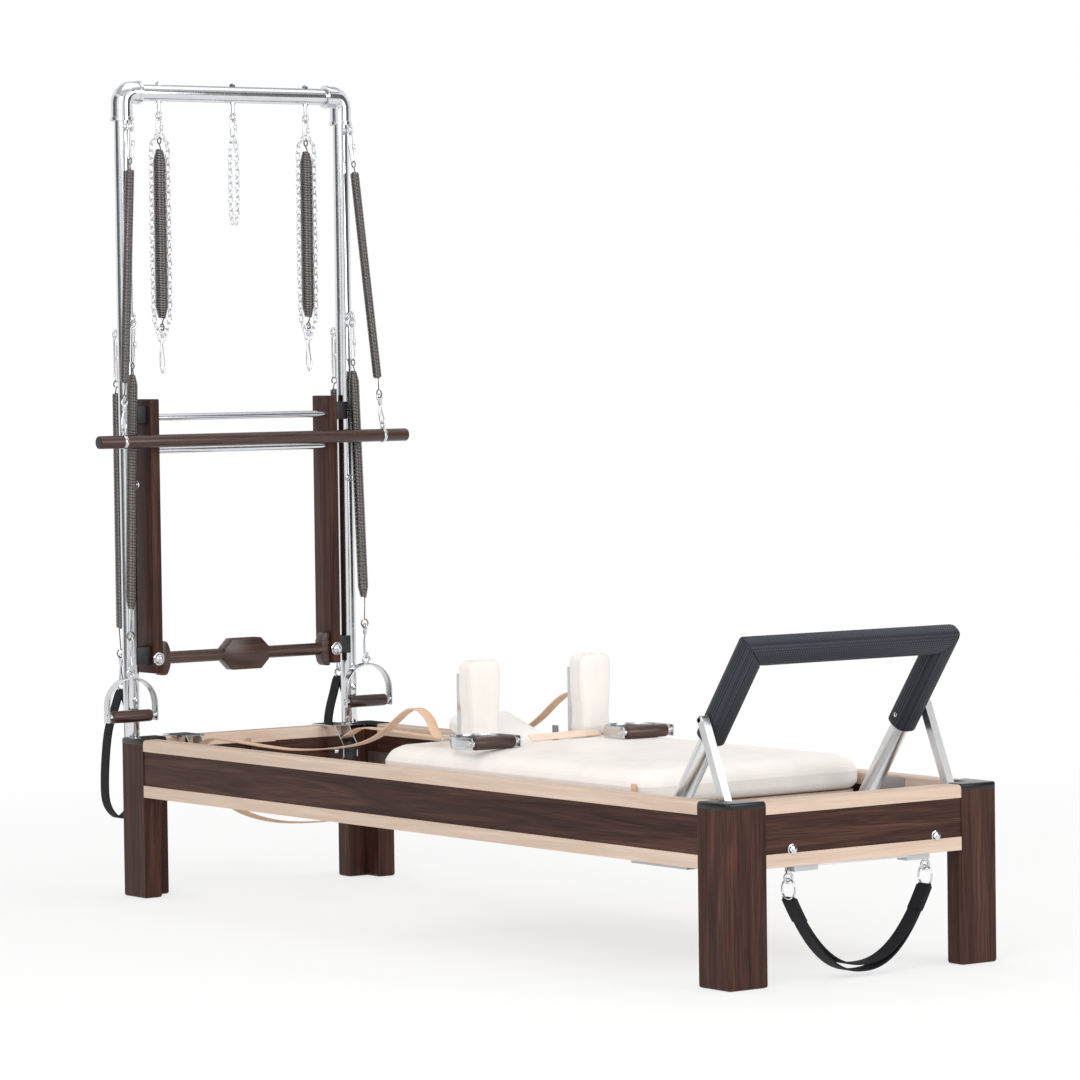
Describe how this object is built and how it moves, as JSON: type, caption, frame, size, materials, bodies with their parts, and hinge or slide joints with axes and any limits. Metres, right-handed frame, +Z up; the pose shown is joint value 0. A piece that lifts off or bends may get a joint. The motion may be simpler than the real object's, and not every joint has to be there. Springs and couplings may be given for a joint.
{
  "type": "pilates tower unit",
  "caption": "Wooden reformer bed with sliding padded carriage, folding foot bar, pulleys with leather straps, and a chrome tower with sliding frame, hanging springs, roll-down bar and handles.",
  "frame": {"origin": "middle of the whole machine's footprint, on the floor", "axes": "+X along the bed from the tower to the foot bar, +Y across the bed, +Z up"},
  "size_m": [2.327, 0.861, 1.887],
  "materials": {
    "walnut": "dark walnut boards with satin lacquer, light maple caps and lips on the rails",
    "plywood": "clear lacquered plywood",
    "chrome": "polished chrome plate",
    "aluminium": "satin anodised",
    "spring_steel": "plated spring wire",
    "vinyl": "warm white upholstery vinyl",
    "black_rubber": "textured black foam sleeve",
    "black_plastic": "matte black",
    "webbing": "black woven webbing",
    "leather": "natural tan leather strap"
  },
  "bodies": {
    "frame": {"leg_tower_near": "walnut", "leg_foot_near": "walnut", "leg_tower_far": "walnut", "leg_foot_far": "walnut", "side_rail_near": "walnut", "side_rail_far": "walnut", "foot_rail": "walnut", "tower_rail": "walnut", "track_near": "aluminium", "track_far": "aluminium", "spring_bar": "aluminium", "carriage_spring_1": "spring_steel", "carriage_spring_2": "spring_steel", "carriage_spring_3": "spring_steel", "carriage_spring_4": "spring_steel", "post_near": "chrome", "post_far": "chrome", "top_bar": "chrome", "riser_near": "chrome", "riser_far": "chrome", "leather_strap_near": "leather", "leather_strap_far": "leather"},
    "carriage": {"carriage_platform": "plywood", "carriage_cushion": "vinyl", "shoulder_rest_near": "vinyl", "shoulder_bracket_near": "chrome", "shoulder_rest_far": "vinyl", "shoulder_bracket_far": "chrome", "leather_strip": "leather"},
    "wheelset_tower": {"wheelset_tower": "black_plastic"},
    "wheelset_foot": {"wheelset_foot": "black_plastic"},
    "headrest": {"headrest": "vinyl"},
    "foot_bar": {"foot_bar": "aluminium", "foot_bar_pad": "black_rubber"},
    "brace_near": {"foot_bar_brace_near": "aluminium"},
    "brace_far": {"foot_bar_brace_far": "aluminium"},
    "slide_frame": {"slide_column_near": "walnut", "slide_column_far": "walnut", "slide_cross_rod_upper": "chrome", "slide_cross_rod_lower": "chrome", "slide_foot_rest": "walnut"},
    "roll_bar_springs": {"roll_bar_spring_near": "spring_steel", "roll_bar_spring_far": "spring_steel"},
    "roll_down_bar": {"roll_down_bar": "walnut"},
    "arm_spring_near": {"arm_spring_near": "spring_steel"},
    "arm_spring_far": {"arm_spring_far": "spring_steel"},
    "arm_handle_near": {"arm_handle_near": "chrome"},
    "arm_handle_far": {"arm_handle_far": "chrome"},
    "leg_spring_near": {"leg_spring_near": "spring_steel"},
    "leg_spring_far": {"leg_spring_far": "spring_steel"},
    "leg_loop_near": {"leg_loop_near": "webbing"},
    "leg_loop_far": {"leg_loop_far": "webbing"},
    "hanging_spring_near": {"hanging_spring_near": "spring_steel"},
    "hanging_spring_far": {"hanging_spring_far": "spring_steel"},
    "centre_chain": {"centre_chain": "chrome"},
    "pulley_near": {"pulley_near": "black_plastic"},
    "pulley_far": {"pulley_far": "black_plastic"},
    "strap_handle_near": {"strap_handle_near": "chrome"},
    "strap_handle_far": {"strap_handle_far": "chrome"},
    "foot_belt": {"foot_belt": "webbing"}
  },
  "joints": [
    {"name": "carriage_slide", "type": "slide", "parent": "frame", "child": "carriage", "axis": [-1, 0, 0], "range_m": [0, 0.8], "stiffness_N_per_m": 60, "springref_m": -0.05, "deforming": ["carriage_spring_1", "carriage_spring_2", "carriage_spring_3", "carriage_spring_4", "leather_strap_near", "leather_strap_far"]},
    {"name": "wheelset_tower_turn", "type": "hinge", "parent": "carriage", "child": "wheelset_tower", "pos_m": [-0.0255, 0, 0.29], "axis": [0, -1, 0], "range_deg": [0, 2090]},
    {"name": "wheelset_foot_turn", "type": "hinge", "parent": "carriage", "child": "wheelset_foot", "pos_m": [0.7265, 0, 0.29], "axis": [0, -1, 0], "range_deg": [0, 2090]},
    {"name": "headrest_tilt", "type": "hinge", "parent": "carriage", "child": "headrest", "pos_m": [0.0195, 0, 0.3726], "axis": [0, 1, 0], "range_deg": [-17.7, 25]},
    {"name": "foot_bar_fold", "type": "hinge", "parent": "frame", "child": "foot_bar", "pos_m": [0.8595, 0, 0.31], "axis": [0, 1, 0], "range_deg": [0, 34]},
    {"name": "brace_near_swing", "type": "hinge", "parent": "foot_bar", "child": "brace_near", "pos_m": [1.01137, -0.29, 0.5198], "axis": [0, 1, 0], "range_deg": [0, 60]},
    {"name": "brace_far_swing", "type": "hinge", "parent": "foot_bar", "child": "brace_far", "pos_m": [1.01137, 0.29, 0.5198], "axis": [0, 1, 0], "range_deg": [0, 60]},
    {"name": "slide_frame_height", "type": "slide", "parent": "frame", "child": "slide_frame", "axis": [0, 0, 1], "range_m": [-0.05, 0.08]},
    {"name": "roll_bar_swing", "type": "hinge", "parent": "frame", "child": "roll_bar_springs", "pos_m": [-1.0645, 0, 1.7758], "axis": [0, -1, 0], "range_deg": [0, 60]},
    {"name": "roll_bar_pull", "type": "slide", "parent": "roll_bar_springs", "child": "roll_down_bar", "axis": [0.0546, 0, -0.9985], "range_m": [0, 0.5], "stiffness_N_per_m": 100, "springref_m": -0.08, "deforming": ["roll_bar_spring_near", "roll_bar_spring_far"]},
    {"name": "arm_spring_near_swing", "type": "hinge", "parent": "frame", "child": "arm_spring_near", "pos_m": [-1.0705, -0.306, 1.3184], "axis": [-1, 0, 0], "range_deg": [0, 60]},
    {"name": "arm_spring_far_swing", "type": "hinge", "parent": "frame", "child": "arm_spring_far", "pos_m": [-1.0705, 0.306, 1.3184], "axis": [1, 0, 0], "range_deg": [0, 60]},
    {"name": "arm_handle_near_swing", "type": "hinge", "parent": "arm_spring_near", "child": "arm_handle_near", "pos_m": [-1.0645, -0.331, 0.5187], "axis": [-1, 0, 0], "range_deg": [0, 60]},
    {"name": "arm_handle_far_swing", "type": "hinge", "parent": "arm_spring_far", "child": "arm_handle_far", "pos_m": [-1.0645, 0.331, 0.5187], "axis": [1, 0, 0], "range_deg": [0, 60]},
    {"name": "leg_spring_near_swing", "type": "hinge", "parent": "frame", "child": "leg_spring_near", "pos_m": [-1.1465, -0.306, 1.2958], "axis": [0, 1, 0], "range_deg": [0, 60]},
    {"name": "leg_spring_far_swing", "type": "hinge", "parent": "frame", "child": "leg_spring_far", "pos_m": [-1.1465, 0.306, 1.2958], "axis": [0, 1, 0], "range_deg": [0, 60]},
    {"name": "leg_loop_near_pull", "type": "slide", "parent": "leg_spring_near", "child": "leg_loop_near", "axis": [0, 0, -1], "range_m": [0, 0.15], "stiffness_N_per_m": 60, "springref_m": -0.05, "deforming": ["leg_spring_near"]},
    {"name": "leg_loop_far_pull", "type": "slide", "parent": "leg_spring_far", "child": "leg_loop_far", "axis": [0, 0, -1], "range_m": [0, 0.15], "stiffness_N_per_m": 60, "springref_m": -0.05, "deforming": ["leg_spring_far"]},
    {"name": "hanging_spring_near_swing", "type": "hinge", "parent": "frame", "child": "hanging_spring_near", "pos_m": [-1.1035, -0.205, 1.8028], "axis": [0, 1, 0], "range_deg": [-45, 45]},
    {"name": "hanging_spring_far_swing", "type": "hinge", "parent": "frame", "child": "hanging_spring_far", "pos_m": [-1.1035, 0.205, 1.8028], "axis": [0, 1, 0], "range_deg": [-45, 45]},
    {"name": "centre_chain_swing", "type": "hinge", "parent": "frame", "child": "centre_chain", "pos_m": [-1.1035, 0, 1.8028], "axis": [0, 1, 0], "range_deg": [-60, 60]},
    {"name": "pulley_near_turn", "type": "hinge", "parent": "frame", "child": "pulley_near", "pos_m": [-0.9885, -0.208, 0.308], "axis": [0, 1, 0], "continuous": true},
    {"name": "pulley_far_turn", "type": "hinge", "parent": "frame", "child": "pulley_far", "pos_m": [-0.9885, 0.208, 0.308], "axis": [0, 1, 0], "continuous": true},
    {"name": "strap_handle_near_turn", "type": "hinge", "parent": "carriage", "child": "strap_handle_near", "pos_m": [0.10467, -0.23619, 0.4253], "axis": [0, 0, 1], "range_deg": [-12, 12]},
    {"name": "strap_handle_far_turn", "type": "hinge", "parent": "carriage", "child": "strap_handle_far", "pos_m": [0.10476, 0.18227, 0.4253], "axis": [0, 0, 1], "range_deg": [-12, 12]},
    {"name": "foot_belt_swing", "type": "hinge", "parent": "frame", "child": "foot_belt", "pos_m": [1.1335, 0, 0.2056], "axis": [0, 1, 0], "range_deg": [-35, 35]}
  ],
  "couplings": [
    {"joint": "wheelset_tower_turn", "follows": "carriage_slide", "rad_per_m": 45.455},
    {"joint": "wheelset_foot_turn", "follows": "carriage_slide", "rad_per_m": 45.455},
    {"joint": "brace_near_swing", "follows": "foot_bar_fold", "ratio": 1.738},
    {"joint": "brace_far_swing", "follows": "foot_bar_fold", "ratio": 1.738}
  ]
}
